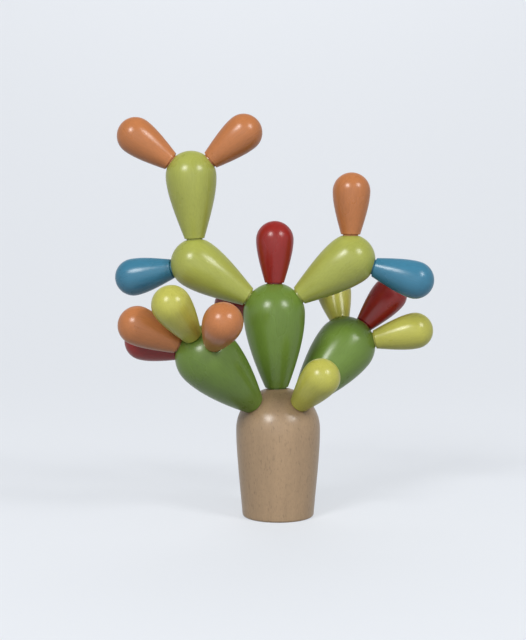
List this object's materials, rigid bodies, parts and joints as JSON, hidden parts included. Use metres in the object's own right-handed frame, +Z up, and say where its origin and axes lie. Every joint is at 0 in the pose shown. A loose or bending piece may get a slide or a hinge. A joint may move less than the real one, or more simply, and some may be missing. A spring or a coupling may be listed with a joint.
{
  "type": "wooden cactus toy",
  "caption": "Wooden cactus toy: turned pads, arms and buds on dowel pegs that plug into drilled sockets, turn in place and pull out, on a flat-bottomed pot.",
  "frame": {"origin": "middle of the pot's flat bottom", "axes": "+Z up along the pot's axis, the front of the toy towards -Y and +X to the right seen from the front"},
  "size_m": [0.193, 0.1426, 0.2384],
  "materials": {
    "blue": "gloss paint, mid blue",
    "dark_green": "gloss paint, dark leaf green",
    "red": "gloss paint, deep red",
    "bare_wood": "satin clear coat over bare beech",
    "light_green": "gloss paint, light olive green",
    "yellow": "gloss paint, olive yellow",
    "orange": "gloss paint, terracotta orange"
  },
  "bodies": {
    "pot": {"pot": "bare_wood"},
    "trunk": {"trunk": "dark_green"},
    "trunk_peg": {"trunk_peg": "dark_green"},
    "crown_bud": {"crown_bud": "red"},
    "crown_bud_peg": {"crown_bud_peg": "red"},
    "trunk_rear_bud": {"trunk_rear_bud": "red"},
    "trunk_rear_bud_peg": {"trunk_rear_bud_peg": "red"},
    "left_arm": {"left_arm": "light_green"},
    "left_arm_peg": {"left_arm_peg": "light_green"},
    "left_arm_side_bud": {"left_arm_side_bud": "blue"},
    "left_arm_side_bud_peg": {"left_arm_side_bud_peg": "blue"},
    "upper_arm": {"upper_arm": "light_green"},
    "upper_arm_peg": {"upper_arm_peg": "light_green"},
    "upper_left_bud": {"upper_left_bud": "orange"},
    "upper_left_bud_peg": {"upper_left_bud_peg": "orange"},
    "upper_right_bud": {"upper_right_bud": "orange"},
    "upper_right_bud_peg": {"upper_right_bud_peg": "orange"},
    "right_arm": {"right_arm": "light_green"},
    "right_arm_peg": {"right_arm_peg": "light_green"},
    "right_arm_top_bud": {"right_arm_top_bud": "orange"},
    "right_arm_top_bud_peg": {"right_arm_top_bud_peg": "orange"},
    "right_arm_side_bud": {"right_arm_side_bud": "blue"},
    "right_arm_side_bud_peg": {"right_arm_side_bud_peg": "blue"},
    "left_pad": {"left_pad": "dark_green"},
    "left_pad_peg": {"left_pad_peg": "dark_green"},
    "left_pad_top_bud": {"left_pad_top_bud": "yellow"},
    "left_pad_top_bud_peg": {"left_pad_top_bud_peg": "yellow"},
    "left_pad_side_bud": {"left_pad_side_bud": "orange"},
    "left_pad_side_bud_peg": {"left_pad_side_bud_peg": "orange"},
    "left_pad_back_bud": {"left_pad_back_bud": "red"},
    "left_pad_back_bud_peg": {"left_pad_back_bud_peg": "red"},
    "left_pad_front_bud": {"left_pad_front_bud": "orange"},
    "left_pad_front_bud_peg": {"left_pad_front_bud_peg": "orange"},
    "right_pad": {"right_pad": "dark_green"},
    "right_pad_peg": {"right_pad_peg": "dark_green"},
    "right_pad_side_bud": {"right_pad_side_bud": "yellow"},
    "right_pad_side_bud_peg": {"right_pad_side_bud_peg": "yellow"},
    "right_pad_back_bud": {"right_pad_back_bud": "red"},
    "right_pad_back_bud_peg": {"right_pad_back_bud_peg": "red"},
    "right_pad_top_bud": {"right_pad_top_bud": "yellow"},
    "right_pad_top_bud_peg": {"right_pad_top_bud_peg": "yellow"},
    "pot_front_bud": {"pot_front_bud": "yellow"},
    "pot_front_bud_peg": {"pot_front_bud_peg": "yellow"}
  },
  "joints": [
    {"name": "trunk_pull", "type": "slide", "parent": "pot", "child": "trunk_peg", "axis": [-0.0349, 0, 0.9994], "range_m": [0, 0.01]},
    {"name": "trunk_turn", "type": "hinge", "parent": "trunk_peg", "child": "trunk", "pos_m": [-0.00085, 0, 0.07663], "axis": [-0.0349, 0, 0.9994], "range_deg": [-60, 14]},
    {"name": "crown_bud_pull", "type": "slide", "parent": "trunk", "child": "crown_bud_peg", "axis": [0.0087, 0, 1], "range_m": [0, 0.01]},
    {"name": "crown_bud_turn", "type": "hinge", "parent": "crown_bud_peg", "child": "crown_bud", "pos_m": [-0.00224, 0, 0.13871], "axis": [0.0087, 0, 1], "continuous": true},
    {"name": "trunk_rear_bud_pull", "type": "slide", "parent": "trunk", "child": "trunk_rear_bud_peg", "axis": [-0.5882, 0.8059, 0.0667], "range_m": [0, 0.01]},
    {"name": "trunk_rear_bud_turn", "type": "hinge", "parent": "trunk_rear_bud_peg", "child": "trunk_rear_bud", "pos_m": [-0.01288, 0.01436, 0.12209], "axis": [-0.5882, 0.8059, 0.0667], "continuous": true},
    {"name": "left_arm_pull", "type": "slide", "parent": "trunk", "child": "left_arm_peg", "axis": [-0.8423, 0.0431, 0.5373], "range_m": [0, 0.01]},
    {"name": "left_arm_turn", "type": "hinge", "parent": "left_arm_peg", "child": "left_arm", "pos_m": [-0.01735, 0.00077, 0.13044], "axis": [-0.8423, 0.0431, 0.5373], "range_deg": [-120, 120]},
    {"name": "left_arm_side_bud_pull", "type": "slide", "parent": "left_arm", "child": "left_arm_side_bud_peg", "axis": [-0.9457, 0.2485, -0.2095], "range_m": [0, 0.01]},
    {"name": "left_arm_side_bud_turn", "type": "hinge", "parent": "left_arm_side_bud_peg", "child": "left_arm_side_bud", "pos_m": [-0.06224, 0.00593, 0.14742], "axis": [-0.9457, 0.2485, -0.2095], "continuous": true},
    {"name": "upper_arm_pull", "type": "slide", "parent": "left_arm", "child": "upper_arm_peg", "axis": [-0.0523, 0.0009, 0.9986], "range_m": [0, 0.01]},
    {"name": "upper_arm_turn", "type": "hinge", "parent": "upper_arm_peg", "child": "upper_arm", "pos_m": [-0.04943, 0.00238, 0.16466], "axis": [-0.0523, 0.0009, 0.9986], "continuous": true},
    {"name": "upper_left_bud_pull", "type": "slide", "parent": "upper_arm", "child": "upper_left_bud_peg", "axis": [-0.809, 0.0006, 0.5878], "range_m": [0, 0.01]},
    {"name": "upper_left_bud_turn", "type": "hinge", "parent": "upper_left_bud_peg", "child": "upper_left_bud", "pos_m": [-0.06297, 0.00243, 0.21024], "axis": [-0.809, 0.0006, 0.5878], "continuous": true},
    {"name": "upper_right_bud_pull", "type": "slide", "parent": "upper_arm", "child": "upper_right_bud_peg", "axis": [0.7716, 0.0005, 0.6361], "range_m": [0, 0.01]},
    {"name": "upper_right_bud_turn", "type": "hinge", "parent": "upper_right_bud_peg", "child": "upper_right_bud", "pos_m": [-0.04032, 0.00243, 0.21093], "axis": [0.7716, 0.0005, 0.6361], "continuous": true},
    {"name": "right_arm_pull", "type": "slide", "parent": "trunk", "child": "right_arm_peg", "axis": [0.8141, 0, 0.5807], "range_m": [0, 0.01]},
    {"name": "right_arm_turn", "type": "hinge", "parent": "right_arm_peg", "child": "right_arm", "pos_m": [0.01205, 0, 0.13121], "axis": [0.8141, 0, 0.5807], "continuous": true},
    {"name": "right_arm_top_bud_pull", "type": "slide", "parent": "right_arm", "child": "right_arm_top_bud_peg", "axis": [0.0175, 0, 0.9998], "range_m": [0, 0.01]},
    {"name": "right_arm_top_bud_turn", "type": "hinge", "parent": "right_arm_top_bud_peg", "child": "right_arm_top_bud", "pos_m": [0.04259, 0, 0.16714], "axis": [0.0175, 0, 0.9998], "continuous": true},
    {"name": "right_arm_side_bud_pull", "type": "slide", "parent": "right_arm", "child": "right_arm_side_bud_peg", "axis": [0.9503, -0.0973, -0.2959], "range_m": [0, 0.01]},
    {"name": "right_arm_side_bud_turn", "type": "hinge", "parent": "right_arm_side_bud_peg", "child": "right_arm_side_bud", "pos_m": [0.05596, -0.00139, 0.14857], "axis": [0.9503, -0.0973, -0.2959], "continuous": true},
    {"name": "left_pad_pull", "type": "slide", "parent": "pot", "child": "left_pad_peg", "axis": [-0.5935, -0.4472, 0.6691], "range_m": [0, 0.01]},
    {"name": "left_pad_turn", "type": "hinge", "parent": "left_pad_peg", "child": "left_pad", "pos_m": [-0.01451, -0.01093, 0.06855], "axis": [-0.5935, -0.4472, 0.6691], "range_deg": [-35, 45]},
    {"name": "left_pad_top_bud_pull", "type": "slide", "parent": "left_pad", "child": "left_pad_top_bud_peg", "axis": [-0.4239, -0.5625, 0.7099], "range_m": [0, 0.01]},
    {"name": "left_pad_top_bud_turn", "type": "hinge", "parent": "left_pad_top_bud_peg", "child": "left_pad_top_bud", "pos_m": [-0.04835, -0.04076, 0.11084], "axis": [-0.4239, -0.5625, 0.7099], "continuous": true},
    {"name": "left_pad_side_bud_pull", "type": "slide", "parent": "left_pad", "child": "left_pad_side_bud_peg", "axis": [-0.8928, -0.1586, 0.4217], "range_m": [0, 0.01]},
    {"name": "left_pad_side_bud_turn", "type": "hinge", "parent": "left_pad_side_bud_peg", "child": "left_pad_side_bud", "pos_m": [-0.0567, -0.03357, 0.10571], "axis": [-0.8928, -0.1586, 0.4217], "continuous": true},
    {"name": "left_pad_back_bud_pull", "type": "slide", "parent": "left_pad", "child": "left_pad_back_bud_peg", "axis": [-0.8721, 0.4604, 0.1658], "range_m": [0, 0.01]},
    {"name": "left_pad_back_bud_turn", "type": "hinge", "parent": "left_pad_back_bud_peg", "child": "left_pad_back_bud", "pos_m": [-0.05633, -0.02254, 0.10115], "axis": [-0.8721, 0.4604, 0.1658], "continuous": true},
    {"name": "left_pad_front_bud_pull", "type": "slide", "parent": "left_pad", "child": "left_pad_front_bud_peg", "axis": [0.2328, -0.8278, 0.5104], "range_m": [0, 0.01]},
    {"name": "left_pad_front_bud_turn", "type": "hinge", "parent": "left_pad_front_bud_peg", "child": "left_pad_front_bud", "pos_m": [-0.03665, -0.04549, 0.10729], "axis": [0.2328, -0.8278, 0.5104], "continuous": true},
    {"name": "right_pad_pull", "type": "slide", "parent": "pot", "child": "right_pad_peg", "axis": [0.6063, 0.409, 0.682], "range_m": [0, 0.01]},
    {"name": "right_pad_turn", "type": "hinge", "parent": "right_pad_peg", "child": "right_pad", "pos_m": [0.01482, 0.01, 0.06887], "axis": [0.6063, 0.409, 0.682], "range_deg": [-40, 18]},
    {"name": "right_pad_side_bud_pull", "type": "slide", "parent": "right_pad", "child": "right_pad_side_bud_peg", "axis": [0.9752, -0.0242, 0.2199], "range_m": [0, 0.01]},
    {"name": "right_pad_side_bud_turn", "type": "hinge", "parent": "right_pad_side_bud_peg", "child": "right_pad_side_bud", "pos_m": [0.05905, 0.02768, 0.103], "axis": [0.9752, -0.0242, 0.2199], "continuous": true},
    {"name": "right_pad_back_bud_pull", "type": "slide", "parent": "right_pad", "child": "right_pad_back_bud_peg", "axis": [0.6423, 0.2951, 0.7074], "range_m": [0, 0.01]},
    {"name": "right_pad_back_bud_turn", "type": "hinge", "parent": "right_pad_back_bud_peg", "child": "right_pad_back_bud", "pos_m": [0.05312, 0.03337, 0.11168], "axis": [0.6423, 0.2951, 0.7074], "continuous": true},
    {"name": "right_pad_top_bud_pull", "type": "slide", "parent": "right_pad", "child": "right_pad_top_bud_peg", "axis": [-0.1462, 0.5851, 0.7977], "range_m": [0, 0.01]},
    {"name": "right_pad_top_bud_turn", "type": "hinge", "parent": "right_pad_top_bud_peg", "child": "right_pad_top_bud", "pos_m": [0.03907, 0.03854, 0.11329], "axis": [-0.1462, 0.5851, 0.7977], "continuous": true},
    {"name": "pot_front_bud_pull", "type": "slide", "parent": "pot", "child": "pot_front_bud_peg", "axis": [0.4777, -0.5693, 0.6691], "range_m": [0, 0.01]},
    {"name": "pot_front_bud_turn", "type": "hinge", "parent": "pot_front_bud_peg", "child": "pot_front_bud", "pos_m": [0.01181, -0.01408, 0.06875], "axis": [0.4777, -0.5693, 0.6691], "continuous": true}
  ]
}
